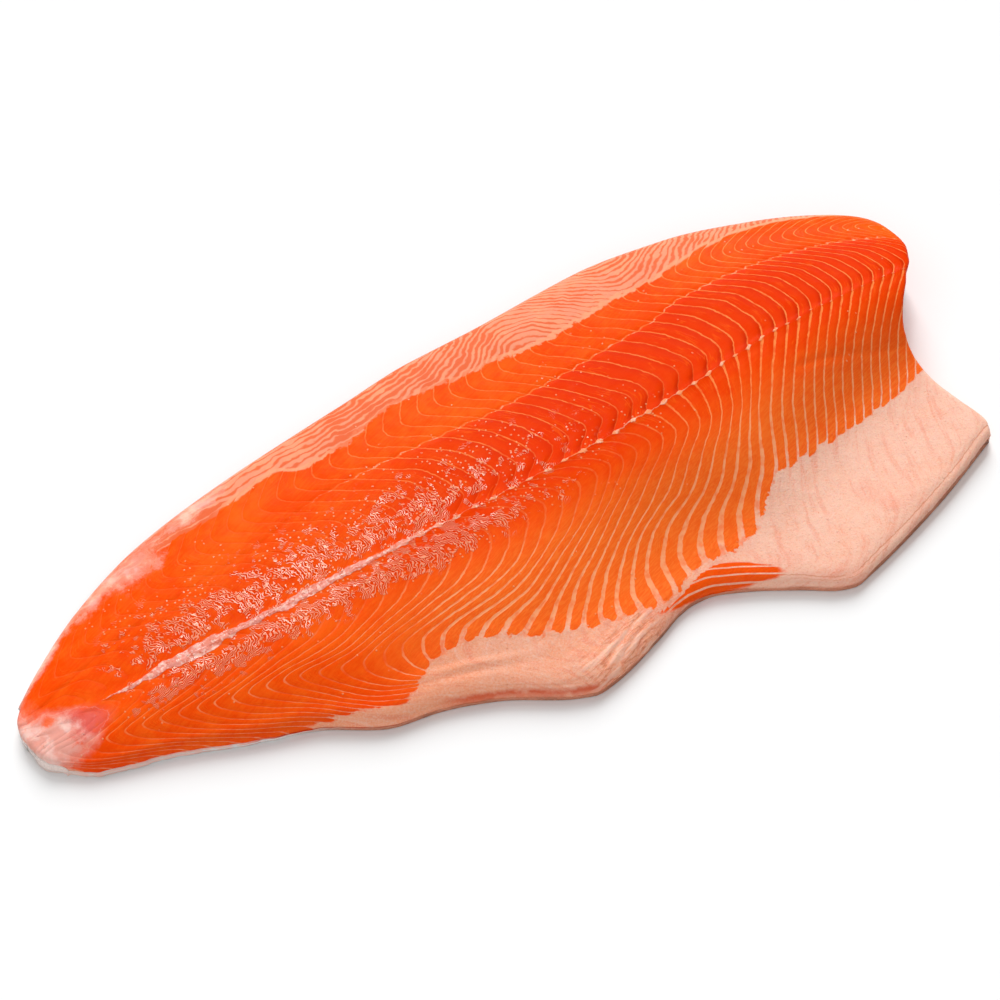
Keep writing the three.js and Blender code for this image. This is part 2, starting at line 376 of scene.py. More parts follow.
# %% Number the flakes over the grid
CONE_TURNS = 2.2
flake = np.zeros(len(along))
for one_place in np.unique(place):
    row = place == one_place
    flake[row] = flake_number(along[row], one_place)
from_sheet = np.abs(flake - np.round(flake))
flake += CONE_TURNS * spots.down * (spots.end > 0)
off_midline = sideways - through(MIDLINE, along)
muscle_in = inside_belly_fat_line(along, place)
back_in = inside_back_fat_line(along, place)
seam_off = (through(UPPER_SEAM, along) - place) * side_width(along, False)
print("flake numbers:", round(flake.min(), 1), "to", round(flake.max(), 1))

# %% [markdown]
# The relief is shallow. Each flake swells a little between its two sheets. The midline lies in a
# slight hollow with a cord of tissue in it, and the surface rolls gently. The thin flap has creased
# into folds on the mid lobe, and a groove runs along its rim. A belt of crinkled wet flesh lies on
# either side of the midline over the tail half, fading out towards the head.

# %% Relief of the top
SWELL = 0.22
SWELL_IN_FAT = 0.3
ROLL, ROLL_WAVES, FINE_WAVES = 0.5, 28, 330
CORD_HEIGHT, CORD_REACH = 0.3, 2.0
HOLLOW_DEPTH, HOLLOW_REACH = 0.35, 7
SEAM_DEPTH, SEAM_REACH = 0.35, 1.6
FAT_BLEND = (-2, 4)
surface_noise = waves(spots.base, ROLL_WAVES, seed=1)
fine_noise = waves(spots.base, FINE_WAVES, seed=2)
in_muscle = ease(*FAT_BLEND, muscle_in) * ease(*FAT_BLEND, back_in)
swell = SWELL * np.sqrt(np.clip(from_sheet * 2, 0, 1)) * (SWELL_IN_FAT + (1 - SWELL_IN_FAT) * in_muscle)
hollow = CORD_HEIGHT * bell(off_midline, CORD_REACH) - HOLLOW_DEPTH * bell(off_midline, HOLLOW_REACH)
seam_dip = -SEAM_DEPTH * bell(seam_off, SEAM_REACH) * (place > 0)
marks = swell + hollow + seam_dip
print("relief so far in mm:", round(marks.min(), 2), "to", round(marks.max(), 2))

# %% Crinkled belts
CRINKLE = 0.12
BACK_BELT_OFF, BACK_BELT_REACH = 15, 14
BELLY_BELT_OFF, BELLY_BELT_REACH, BELLY_BELT_SHARE = 11, 8, 1.15
FAR_BELT_OFF, FAR_BELT_REACH = 12, 34
WET_BELT_SPAN, FAR_BELT_SPAN = (45, 90, 230, 330), (40, 90, 300, 400)
back_belt = bell(off_midline - BACK_BELT_OFF, BACK_BELT_REACH)
belly_belt = BELLY_BELT_SHARE * bell(off_midline + BELLY_BELT_OFF, BELLY_BELT_REACH)
wet_belt = np.where(off_midline > 0, back_belt, belly_belt)
wet_belt *= within(along, *WET_BELT_SPAN)
far_belt = np.exp(-(((off_midline - FAR_BELT_OFF) / FAR_BELT_REACH) ** 4)) * within(along, *FAR_BELT_SPAN)
crinkle = CRINKLE * wet_belt * fine_noise
print("the crinkled belts cover", round(100 * np.mean(wet_belt > 0.5)), "% of the grid")

# %% Folds and creases
FOLDS = [(284, -112, 20, 9, 0.45, 0.8, 0.45), (212, -84, 26, 5, 0.5, 1.6, -0.35),
         (250, -119, 22, 4, 0.35, 0.8, -0.3)]
RIM_GROOVE_IN, RIM_GROOVE_REACH, RIM_GROOVE_DEPTH = 4.6, 0.8, 0.5
CREASE_OFF, CREASE_REACH, CREASE_DEPTH = (24, 35), 2.2, 0.6
RIM_FADE = 0.8
folds = np.zeros(len(along))
for fold_along, fold_side, reach, width, depth, gap, tilt in FOLDS:
    spread = np.exp(-(((along - fold_along) / reach) ** 2)
                    - ((sideways - fold_side - tilt * (along - fold_along)) / width) ** 2)
    folds += depth * spread * np.sin((sideways - tilt * along) / gap + 3 * surface_noise)
from_belly_edge = np.minimum((1 + place) * side_width(along, True), 60)
rim_off = from_belly_edge - RIM_GROOVE_IN - 1.2 * surface_noise
folds -= RIM_GROOVE_DEPTH * bell(rim_off, RIM_GROOVE_REACH) * ease(388, 405, along)
from_crease = off_midline + mix(*CREASE_OFF, ease(445, 515, along))
folds -= CREASE_DEPTH * bell(from_crease, CREASE_REACH) * ease(440, 458, along)
rim_fade = ease(0, 0.05, 1 - np.abs(place)) * RIM_FADE + 0.2
relief = (swell + ROLL * surface_noise + hollow + seam_dip + crinkle + folds) * rim_fade
print("relief in mm:", round(relief.min(), 2), "to", round(relief.max(), 2))

# %% Shape the flesh
CUT_ROUNDING, CUT_DROP = 2.5, 1.4
LEAST_FLESH = 1.5
LEDGE_DEPTH, LEDGE_TURNS = 0.3, 15
cut_round = np.sqrt(1 - (1 - np.clip(spots.from_end / CUT_ROUNDING, 0, 1)) ** 2)
bottom = under_height(place) + FLESH_OVER_SKIN
top = np.maximum(top_height(along, place) + relief - CUT_DROP * (1 - cut_round), bottom + LEAST_FLESH)
ledges = LEDGE_DEPTH * np.sin(spots.down * LEDGE_TURNS + 3 * surface_noise) * ease(0, 0.25, spots.down)
wall_along, wall_sideways = edge_outline(spots, spots.down, ledges)
tucked = place * (1 - (1 - LIFT_START) * spots.under * np.abs(spots.side))
wall_sideways += (across(along, tucked) - sideways)
wall_along -= spots.end * UNDER_REACH * spots.under
height = mix(top, under_height(tucked) + FLESH_OVER_SKIN, spots.down)
for vert, point in zip(flesh_mesh.verts, to_row(wall_along, wall_sideways, height)):
    vert.co = point
bmesh.ops.contextual_create(flesh_mesh, geom=[e for e in flesh_mesh.edges if e.is_boundary])
print("flesh faces:", len(flesh_mesh.faces))

# %% [markdown]
# ## What the paint needs to know
#
# The colours follow the anatomy, so the mesh carries it: each point stores its flake number and its
# distances in millimetres from the fat lines, the midline and the seam. The materials read these as
# attributes. They vary smoothly, so the fine lines that the materials draw from them stay sharp
# however coarse the mesh is.

# %% Streaks in the back fat
STREAK_SLOPE = [(0, 0.05), (240, 0.05), (280, 0.25), (305, 0.75), (326, 0.9), (334, 0.0), (345, -0.6),
                (370, -1.0), (396, -0.9), (410, 0.2), (424, 0.8), (470, 0.9), (525, 0.85), (560, 0.6)]
STREAK_GAP = 4.2
BACK_PALENESS = [(0, 0.1), (140, 0.2), (165, 0.7), (205, 0.75), (225, 0.35), (290, 0.4), (322, 0.45),
                 (334, 0.75), (395, 0.78), (412, 0.62), (500, 0.62), (560, 0.6)]
line_along = np.arange(0, LAST_STATION + 1.0)
climb = np.cumsum(through(STREAK_SLOPE, line_along))
streak = (sideways - np.interp(along, line_along, climb)) / STREAK_GAP
back_pale = through(BACK_PALENESS, along)
print("streaks in the back fat every", STREAK_GAP, "mm")

# %% Width of the pale lines
MIDDLE_PITCH = 10.5
LINE_NEAR, LINE_FAR = 0.04, 0.15
LINE_ON_WALL, LINE_LEAST = 0.085, 0.06
BACK_LINE_TAIL, BACK_LINE_HEAD = 0.035, 0.05
HOOK_WIDTH, HOOK_REACH = 0.03, 0.12
rib_reach = np.clip(-off_midline / np.maximum(muscle_in - off_midline, 1), 0, 1)
in_front = ease(170, 230, along)
on_wall = ease(400, 440, along)
hook = HOOK_WIDTH * bell(rib_reach, HOOK_REACH) * ease(320, 370, along)
line_width = mix(LINE_NEAR, LINE_FAR, ease(0.25, 0.85, rib_reach) * in_front)
line_width = np.maximum(mix(line_width, LINE_ON_WALL, on_wall) + hook, LINE_LEAST) * (place < 0)
back_line_width = mix(BACK_LINE_TAIL, BACK_LINE_HEAD, ease(380, 440, along))
line_width = np.maximum(line_width, back_line_width * (place >= 0))
line_mm = [round(MIDDLE_PITCH * 2 * width, 1) for width in (LINE_NEAR, LINE_FAR)]
print("pale lines are", line_mm[0], "to", line_mm[1], "mm wide")

# %% How clearly the lines show
FADED_REACH, FADED_SPREAD, FADED_BY = 0.68, 0.1, 0.85
upper_show = mix(0.85, 0.75, ease(0, 8, -seam_off)) * mix(0.3, 1, ease(150, 260, along))
upper_show *= mix(0.25, 1, ease(3, 26, off_midline))
upper_show = mix(upper_show, 0.95, ease(395, 440, along))
past_lobe_start = ease(185, 215, along)
lower_show = np.maximum(mix(0.3, 1, ease(0.25, 0.5, rib_reach)), on_wall)
lower_show *= 1 - FADED_BY * bell(rib_reach - FADED_REACH, FADED_SPREAD) * (1 - past_lobe_start)
lower_show *= mix(0.75, 1, ease(150, 230, along))
line_show = np.where(place < 0, np.maximum(lower_show, 0.9 * ease(330, 390, along)), upper_show)
print("the lines show fully on", round(100 * np.mean(line_show > 0.9)), "% of the grid")

# %% Shape of the fingers
FRAY_TAIL, FRAY_LOBE, FRAY_WALL = 2.5, 7.0, 2.0
ROUND_TAIL, ROUND_LOBE, ROUND_FLAP = 2.0, 6.0, 2.0
fray = mix(mix(FRAY_TAIL, FRAY_LOBE, past_lobe_start), FRAY_WALL, on_wall)
finger_round = mix(mix(ROUND_TAIL, ROUND_LOBE, past_lobe_start), ROUND_FLAP, ease(385, 415, along))
print("the fingers are rounded over", round(finger_round.min(), 1), "to", round(finger_round.max(), 1), "mm")

# %% Paleness and redness
FAT_PALENESS = [(0, 0.1), (200, 0.15), (240, 0.35), (300, 0.3), (340, 0.5), (385, 0.85), (560, 0.95)]
STRIP_WIDTH = [(0, 0.0), (40, 0.0), (50, 1.0), (70, 2.4), (95, 3.9), (130, 3.9), (160, 3.1), (190, 2.3),
               (215, 1.7), (240, 0.9), (265, 0.5), (400, 0.35), (450, 0.1), (560, 0.0)]
fat_pale = through(FAT_PALENESS, along)
BELOW_RED, BELOW_REACH = 0.8, 22
redness = ease(-1.5, 1.5, seam_off) * (place >= 0) * ease(180, 300, along)
red_below = BELOW_RED * (place < 0) * bell(off_midline, BELOW_REACH) * ease(150, 300, along)
redness = np.maximum(redness, red_below)
strip_width = through(STRIP_WIDTH, along)
print("midline strip:", STRIP_WIDTH[4][1] * 2, "mm wide at its widest")

# %% Membrane at the tail and along the back
FILM_REACH = [(-1, 16), (-0.9, 19), (-0.5, 33), (-0.2, 44), (0, 38), (0.2, 20), (0.5, 10), (1, 11)]
MEMBRANES = [(32, 0.98, 26, 0.12), (74, 0.92, 24, 0.14), (97, 0.86, 20, 0.17), (138, 0.93, 26, 0.09)]
PINK_AT, PINK_REACH = (44, -5), (20, 13)
BARE_AT, BARE_REACH = (17, 3), (5, 4)


def soft_spot(at, reach):
    """1 at a place in mm along and off the midline, fading over `reach` both ways."""
    return np.exp(-(((along - at[0]) / reach[0]) ** 2) - ((off_midline - at[1]) / reach[1]) ** 2)


film_in = through(FILM_REACH, place) - along
film_pink, bare_spot = soft_spot(PINK_AT, PINK_REACH), soft_spot(BARE_AT, BARE_REACH)
membrane = np.full(len(along), -1.0)
for middle, at_place, reach, width in MEMBRANES:
    away = np.hypot((along - middle) / reach, (place - at_place) / width)
    membrane = np.maximum(membrane, 1 - away)
print("membrane covers the last", FILM_REACH[3][1], "mm of the tail")

# %% Striped patch by the notch
PATCH_ALONG, PATCH_PLACE = 345, -0.93
PATCH_HALF_LENGTH, PATCH_HALF_WIDTH = 36, 8
PATCH_STRIPE, PATCH_SLOPE = 4.6, 0.012
NO_PATCH = -0.2
patch_off, patch_up = along - PATCH_ALONG, sideways - across(along, PATCH_PLACE + 0 * along)
patch = 1 - np.sqrt((patch_off / PATCH_HALF_LENGTH) ** 2 + (patch_up / PATCH_HALF_WIDTH) ** 2)
patch = np.where(muscle_in < -1.5, patch, NO_PATCH)
patch_line = patch_up / PATCH_STRIPE + patch_off * PATCH_SLOPE
print("the patch by the notch is", PATCH_HALF_LENGTH * 2, "mm long")

# %% Make an object from a bmesh
def new_object(name, data):
    made = bpy.data.objects.new(name, data)
    bpy.context.scene.collection.objects.link(made)
    return made


def carry(mesh_data, numbers):
    """Stores one number per point for each name. They become attributes of the mesh."""
    for name, values in numbers.items():
        layer = mesh_data.verts.layers.float.new(name)
        for vert, value in zip(mesh_data.verts, values):
            vert[layer] = value


def make_piece(name, mesh_data):
    """Merges the points that fell together, turns the faces outwards and makes a smooth object."""
    bmesh.ops.remove_doubles(mesh_data, verts=mesh_data.verts, dist=1e-6)
    bmesh.ops.recalc_face_normals(mesh_data, faces=mesh_data.faces)
    mesh = bpy.data.meshes.new(name)
    mesh_data.to_mesh(mesh)
    mesh_data.free()
    mesh.shade_smooth()
    return new_object(name, mesh)


carry(flesh_mesh, {"flake": flake, "along": along, "place": place, "off_midline": off_midline,
                   "muscle_in": muscle_in, "back_in": back_in, "seam_off": seam_off, "streak": streak,
                   "back_pale": back_pale, "line_width": line_width, "line_show": line_show,
                   "redness": redness, "crinkled": wet_belt, "far_belt": far_belt, "film_in": film_in,
                   "film_pink": film_pink, "bare_spot": bare_spot, "membrane": membrane,
                   "strip_width": strip_width, "cut_side": spots.down,
                   "patch": patch, "patch_line": patch_line, "finger_round": finger_round,
                   "fat_pale": fat_pale, "rim_off": rim_off, "fray": fray})
flesh = make_piece("flesh", flesh_mesh)
print("flesh points after merging:", len(flesh.data.vertices))

# %% [markdown]
# ## The skin
#
# The skin lies under the flesh and curls up round the edges: well up along the back, where the body
# of the fish was round, nearly to the top round the tail, and hardly at all along the belly flap and
# the head cut, where the knife went through it. It is laid out as the flesh was, on a coarser grid,
# and then given its thickness with solidify.

# %% Lay and thicken the skin
SKIN_CELLS = (150, 64)
SKIN_WALL = 5
CLIMB_BACK = 0.62
CLIMB_HEAD = 0.07
CLIMB_BELLY = [(0, 0.95), (95, 0.9), (125, 0.3), (150, 0.1), (560, 0.1)]
RAGGED_HEAD, RAGGED_SIDES, RAGGED_WAVES = 0.04, 0.12, 90
SKIN_DROP, LEAST_SKIN = 1.4, 2
skin_mesh = bmesh.new()
bmesh.ops.create_grid(skin_mesh, x_segments=SKIN_CELLS[0] + 2 * SKIN_WALL,
                      y_segments=SKIN_CELLS[1] + 2 * SKIN_WALL, size=1)
lay = Spots(skin_mesh, SKIN_CELLS, SKIN_WALL)
climb_share = mix(through(CLIMB_BELLY, lay.along), CLIMB_BACK, ease(-0.2, 0.9, lay.place))
climb_share = np.where(lay.end > 0, CLIMB_HEAD, climb_share)
ragged = np.where(lay.end > 0, RAGGED_HEAD, RAGGED_SIDES) * waves(lay.base, RAGGED_WAVES, seed=5, octaves=2)
down = 1 - lay.down * np.clip(climb_share + ragged, 0.05, 1)
skin_along, skin_sideways = edge_outline(lay, down, SKIN_THICK * 0.5)
skin_top = np.maximum(top_height(lay.along, lay.place) - SKIN_DROP, under_height(lay.place) + LEAST_SKIN)
skin_height = mix(skin_top, under_height(lay.place), down)
for vert, point in zip(skin_mesh.verts, to_row(skin_along, skin_sideways, skin_height)):
    vert.co = point
carry(skin_mesh, {"along": lay.along, "place": lay.place,
                  "off_midline": lay.sideways - through(MIDLINE, lay.along)})
skin = make_piece("skin", skin_mesh)
if sum(f.normal.z * f.area for f in skin.data.polygons) > 0:
    skin.data.flip_normals()
thicken = skin.modifiers.new("thickness", "SOLIDIFY")
thicken.thickness, thicken.offset = SKIN_THICK * MM, -1
skin_high = max(v.co.z for v in skin.data.vertices) / MM
print("skin", SKIN_THICK, "mm thick, up to", round(skin_high, 1), "mm high")

# %% [markdown]
# ## Paint tools
#
# A material is a net of nodes. A small helper adds nodes by name and joins them, so that each line of
# the recipes below reads as one step. Colours are written as they look on a screen, from 0 to 255,
# and turned into the linear light that the shader works in.

# %% Screen colours
def paint(red, green, blue):
    """A screen colour, 0 to 255, as the linear colour that Blender mixes."""
    def linear(c):
        c = c / 255
        return c / 12.92 if c <= 0.04045 else ((c + 0.055) / 1.055) ** 2.4
    return (linear(red), linear(green), linear(blue), 1.0)


print("screen white is", paint(255, 255, 255)[:3], "and mid grey is", round(paint(128, 128, 128)[0], 3))


# %% Node helper: sums
class Sums:
    """A node tree being filled in. Each method adds nodes and returns an output."""

    def __init__(self, tree):
        self.tree = tree
        self.read = {}

    def node(self, kind, inputs=None, **settings):
        made = self.tree.nodes.new(kind)
        for name, value in settings.items():
            setattr(made, name, value)
        for name, value in (inputs or {}).items():
            self.join(made.inputs[name], value)
        return made

    def join(self, socket, value):
        if isinstance(value, bpy.types.NodeSocket):
            self.tree.links.new(value, socket)
        else:
            socket.default_value = value

    def math(self, operation, *values, clamp=False):
        made = self.node("ShaderNodeMath", operation=operation, use_clamp=clamp)
        for socket, value in zip(made.inputs, values):
            self.join(socket, value)
        return made.outputs[0]

    def add(self, *terms):
        total = terms[0]
        for term in terms[1:]:
            total = self.math("ADD", total, term)
        return total

    def take(self, a, b):
        return self.math("SUBTRACT", a, b)

    def times(self, *terms):
        total = terms[0]
        for term in terms[1:]:
            total = self.math("MULTIPLY", total, term)
        return total

    def minus(self, a):
        return self.times(a, -1.0)

    def most(self, a, b):
        return self.math("MAXIMUM", a, b)

    def size_of(self, a):
        return self.math("ABSOLUTE", a)

    def without(self, a):
        return self.math("SUBTRACT", 1.0, a, clamp=True)

    def zigzag(self, a):
        """Distance to the nearest whole number."""
        return self.math("PINGPONG", a, 0.5)


print("sums:", ", ".join(name for name in vars(Sums) if name[0] != "_"))


# %% Node helper: masks
class Masks(Sums):
    """Masks from 0 to 1, worked out from numbers and from the mesh's attributes."""

    def ease(self, start, stop, value):
        made = self.node("ShaderNodeMapRange", {"Value": value, "From Min": start, "From Max": stop},
                         interpolation_type="SMOOTHSTEP")
        return made.outputs[0]

    def fade(self, start, stop, value):
        """1 below `start`, 0 above `stop`, and a smooth step between."""
        return self.without(self.ease(start, stop, value))

    def inside(self, edge, soft, value):
        """1 where the value is below `edge`, fading to 0 over `soft` on either side of it."""
        return self.fade(self.take(edge, soft), self.add(edge, soft), value)

    def near(self, reach, soft, value):
        """1 where the value is within `reach` of zero."""
        return self.inside(reach, soft, self.size_of(value))

    def attribute(self, name):
        if name not in self.read:
            self.read[name] = self.node("ShaderNodeAttribute", attribute_name=name).outputs["Fac"]
        return self.read[name]

    def past(self, name, start, stop):
        """0 where the attribute is below `start`, 1 where it is above `stop`."""
        return self.ease(start, stop, self.attribute(name))

    def before(self, name, start, stop):
        """1 where the attribute is below `start`, 0 where it is above `stop`."""
        return self.fade(start, stop, self.attribute(name))

    def span(self, name, start, full, fade, end):
        """1 where the attribute is between `full` and `fade`, and 0 before `start` and after `end`."""
        return self.times(self.past(name, start, full), self.before(name, fade, end))


print("masks:", ", ".join(name for name in vars(Masks) if name[0] != "_"))


# %% Node helper: patterns and colours
class Net(Masks):
    """Patterns in the object's own space, and the mixing of colours."""

    def vector(self, x, y, z=0.0):
        return self.node("ShaderNodeCombineXYZ", {"X": x, "Y": y, "Z": z}).outputs[0]

    def spot(self, turn=0.0, stretch=(1, 1, 1)):
        """The point on the object in metres, for a pattern that is stretched and then turned about Z."""
        if "object" not in self.read:
            self.read["object"] = self.node("ShaderNodeTexCoord").outputs["Object"]
        if turn == 0 and stretch == (1, 1, 1):
            return self.read["object"]
        made = self.node("ShaderNodeMapping", {"Vector": self.read["object"], "Scale": stretch,
                                               "Rotation": (0, 0, math.radians(turn))}, vector_type="TEXTURE")
        return made.outputs[0]

    def noise(self, scale, vector=None, detail=2.0, rough=0.5):
        """Smooth noise about 0.5, with `scale` waves to the metre."""
        made = self.node("ShaderNodeTexNoise", {"Vector": vector or self.spot(), "Scale": scale,
                                                "Detail": detail, "Roughness": rough})
        return made.outputs["Fac"]

    def sway(self, scale, **settings):
        """Smooth noise that swings about zero."""
        return self.take(self.noise(scale, **settings), 0.5)

    def patches(self, start, stop, scale, **settings):
        """1 where a noise is above `stop`, 0 where it is below `start`."""
        return self.ease(start, stop, self.noise(scale, **settings))

    def threads(self, width, noise):
        """Thin wandering lines where a noise crosses its middle value."""
        return self.fade(0.0, width, self.size_of(self.take(noise, 0.5)))

    def cells(self, scale, vector=None, random=1.0, **settings):
        """Outputs of a pattern of cells, `scale` of them to the metre."""
        made = self.node("ShaderNodeTexVoronoi", {"Vector": vector or self.spot(), "Scale": scale,
                                                  "Randomness": random}, **settings)
        return made.outputs

    def pick(self, cells, channel):
        """One random number for each cell."""
        return self.node("ShaderNodeSeparateColor", {"Color": cells["Color"]}).outputs[channel]

    def between(self, share, a, b, kind, first, out):
        """A mix node; its sockets for `a` and `b` start at `first`."""
        made = self.node("ShaderNodeMix", data_type=kind)
        for index, value in ((0, share), (first, a), (first + 1, b)):
            self.join(made.inputs[index], value)
        return made.outputs[out]

    def mix(self, share, a, b):
        """A colour between two colours."""
        return self.between(share, a, b, "RGBA", first=6, out=2)

    def blend(self, share, a, b):
        """A number between two numbers."""
        return self.between(share, a, b, "FLOAT", first=2, out=0)

    def over(self, under, colour, *shares):
        """A colour laid over another, as thick as the product of the shares."""
        return self.mix(self.times(*shares), under, colour)


print("patterns and colours:", ", ".join(name for name in vars(Net) if name[0] != "_"))

# %% [markdown]
# ## A wet film, shared by both materials
#
# Raw fish is wet. Light glints off a thin film that follows small bumps in the surface. Flesh and
# skin both have it, so it is a node group with its own inputs, built once.

# %% Wet film group
WET_ROUGHNESS = 0.2
POOLS_TO_GRAIN = 0.18
film = bpy.data.node_groups.new("wet film", "ShaderNodeTree")
for name, value in (("Grain per metre", 900.0), ("Beads", 0.5), ("Dry roughness", 0.45)):
    socket = film.interface.new_socket(name, in_out="INPUT", socket_type="NodeSocketFloat")
    socket.default_value = value
for name in ("Height", "Roughness"):
    film.interface.new_socket(name, in_out="OUTPUT", socket_type="NodeSocketFloat")
net = Net(film)
group_in = net.node("NodeGroupInput").outputs
group_out = net.node("NodeGroupOutput").inputs
grain = net.noise(group_in["Grain per metre"], detail=3.0, rough=0.6)
pools = net.noise(net.times(group_in["Grain per metre"], POOLS_TO_GRAIN))
net.join(group_out["Height"], net.add(net.times(grain, group_in["Beads"]), pools))
wetness = net.ease(0.35, 0.6, pools)
net.join(group_out["Roughness"], net.blend(wetness, group_in["Dry roughness"], WET_ROUGHNESS))
print("wet film has", len(film.nodes), "nodes")


# %% Use the film in a material
def wet_film(net, grain, beads, dry):
    made = net.node("ShaderNodeGroup", node_tree=film)
    for name, value in (("Grain per metre", grain), ("Beads", beads), ("Dry roughness", dry)):
        made.inputs[name].default_value = value
    return made.outputs["Height"], made.outputs["Roughness"]


def new_material(name):
    material = bpy.data.materials.new(name)
    material.use_nodes = True
    material.node_tree.nodes.clear()
    return material, Net(material.node_tree)


def bumpy(net, height, strength, distance):
    made = net.node("ShaderNodeBump", {"Height": height, "Strength": strength, "Distance": distance})
    return made.outputs[0]


def dress(thing, material, net, settings):
    """Ends a material in one Principled shader with these settings, and gives it to a thing."""
    shader = net.node("ShaderNodeBsdfPrincipled", settings)
    net.node("ShaderNodeOutputMaterial", {"Surface": shader.outputs[0]})
    thing.data.materials.append(material)


print("grain sets the size of the bumps, beads their depth, dry the roughness between the wet spots")

# %% [markdown]
# ## The flesh material
#
# The recipe goes in the order of the anatomy: first the muscle, then the pale sheets between the
# flakes, the fat at the belly and the back, the strip along the midline, and last what dries and
# shines on the surface. Each step paints over the one before with a mask made from the attributes.
# Numbers beside an attribute are millimetres, and a share of paint goes from 0 to 1.
#
# Muscle is never one flat orange. A stretched noise gives its fibres and wider noises its clouds. The
# ribs below the midline are yellower, and a band above it is redder.

# %% Muscle tones
flesh_material, net = new_material("salmon flesh")
get = net.attribute
MUSCLE = paint(244, 72, 5)
PALE_MUSCLE = paint(251, 98, 20)
FIBRE_TURN = 18
fibres = net.noise(900.0, net.spot(FIBRE_TURN, (7, 1, 1)))
clouds = net.noise(22.0, detail=3.0)
blotches = net.noise(120.0, detail=3.0)
tone = net.add(net.times(fibres, 0.25), net.times(clouds, 0.45), net.times(blotches, 0.3))
muscle = net.mix(net.ease(0.38, 0.68, tone), MUSCLE, PALE_MUSCLE)
print("two oranges, mixed by fibres, clouds and blotches")

# %% Yellow ribs and the red band
YELLOW_FIBRE = paint(255, 124, 48)
RED_BAND_AND_SHADE = paint(235, 53, 3)
RIBS_BELOW, RIBS_FROM = (5.0, 45.0), (150.0, 230.0)
below_midline = net.minus(get("off_midline"))
in_ribs = net.times(net.ease(*RIBS_BELOW, below_midline), net.past("along", *RIBS_FROM))
thin_fibres = net.noise(1500.0, net.spot(FIBRE_TURN, (9, 1, 1)), detail=1.0)
rib_share = net.times(in_ribs, net.blend(net.ease(0.45, 0.6, thin_fibres), 0.45, 0.8))
muscle = net.mix(rib_share, muscle, YELLOW_FIBRE)
muscle = net.over(muscle, RED_BAND_AND_SHADE, get("redness"), net.blend(blotches, 0.95, 0.7))
print("the ribs turn yellow between", RIBS_FROM[0], "and", RIBS_FROM[1], "mm from the tail")

# %% [markdown]
# ## The sheets between the flakes
#
# On the cut, each sheet of connective tissue shows as a pale line. The flake number is whole on a
# sheet, so a zigzag of it is the distance to the nearest one, and noise makes it wander. Towards the
# belly fat the muscle between two sheets narrows to a round finger. Lines drawn by the material stay
# sharp, which lines cut into the mesh would not, and the mesh only has their swell.

# %% Distance to the nearest sheet
wobble = net.sway(70.0)
shiver = net.sway(420.0, detail=1.0)
number = net.add(get("flake"), net.times(wobble, 0.3), net.times(shiver, 0.1))
off_sheet = net.zigzag(number)
flake_dice = net.node("ShaderNodeTexWhiteNoise", {"W": net.math("FLOOR", number)}, noise_dimensions="1D")
which = flake_dice.outputs["Value"]
print("each flake has a random number of its own")

# %% Fingers in the belly fat
FINGER_SPREAD = 2.6
ragged = net.times(net.sway(260.0), get("fray"))
finger = net.take(get("muscle_in"), net.add(net.times(which, FINGER_SPREAD), ragged))
past_round = net.math("SUBTRACT", 1.0, net.math("DIVIDE", finger, get("finger_round")), clamp=True)
round_end = net.math("SQRT", net.take(1.0, net.times(past_round, past_round)))
finger_gap = net.take(0.5, net.times(0.5, round_end))
print("the fingers end up to", FINGER_SPREAD, "mm apart")

# %% Pale lines
LINE_SOFT = 0.025
gap = net.most(get("line_width"), finger_gap)
line = net.inside(gap, LINE_SOFT, off_sheet)
broken = net.patches(0.28, 0.6, 240.0)
line = net.times(line, get("line_show"), net.blend(broken, 0.45, 1.0))
line = net.most(line, net.fade(-0.5, 0.6, finger))
print("the lines fade out over", round(2 * LINE_SOFT * MIDDLE_PITCH, 2), "mm")

# %% Shade beside the sheets
SHADE_RED = paint(200, 34, 2)
CREVICE_SHADE = paint(150, 16, 0)
CREVICE_SHADE_UP, CREVICE_SHADES_FROM = 4.0, (300.0, 360.0)
# Painted shade: the muscle right beside each sheet is darkened with the band's red.
muscle = net.over(muscle, RED_BAND_AND_SHADE, net.fade(0.0, 0.14, off_sheet), 0.25)
through_flake = net.math("FRACT", number)
# Painted shade: in the red band each flake grows darker through its width, up to the next sheet.
tail_side = net.times(net.ease(0.35, 1.0, through_flake), get("redness"))
muscle = net.over(muscle, SHADE_RED, tail_side, 0.4)
# Painted shade of a crevice just above the midline, from 300 mm on.
just_above = net.near(3.0, 5.0, net.add(get("off_midline"), -CREVICE_SHADE_UP))
crevice_shade = net.times(net.ease(0.6, 0.95, through_flake), just_above, net.past("along", *CREVICE_SHADES_FROM))
muscle = net.over(muscle, CREVICE_SHADE, crevice_shade, 0.45)
print("each flake is darker on its tail side, and a crevice opens", CREVICE_SHADE_UP, "mm above the midline")

# %% [markdown]
# ## Fine lines, ridges and droplets
#
# Between the sheets the cut has finer marks: thin broken lines, short curled ridges where wet flesh
# has crinkled beside the midline, and beads of fat. The ridges and beads are painted pale, partly as
# their own colour and partly as painted highlights, and the gaps between the ridges as painted shade.
# The lines and ridges are patterns in the flake number, so they bend as the flakes do. The beads are a
# few picked cells of a flat pattern, because a solid pattern would be cut at all heights and leave most
# of them too small.


# %% Patterns that follow the sheets
def along_sheets(per_flake, per_mm):
    """Pattern coordinates that run along the sheets: turns per flake across them, per mm along them."""
    return net.vector(net.times(number, per_flake), net.times(get("off_midline"), per_mm),
                      net.times(get("along"), per_mm))


fine_lines = net.threads(0.05, net.noise(1.0, along_sheets(3.6, 0.05), detail=1.0))
fine_lines = net.times(fine_lines, net.patches(0.45, 0.62, 80.0))
muscle = net.over(muscle, PALE_MUSCLE, fine_lines, 0.45)
print("fine lines follow the sheets")

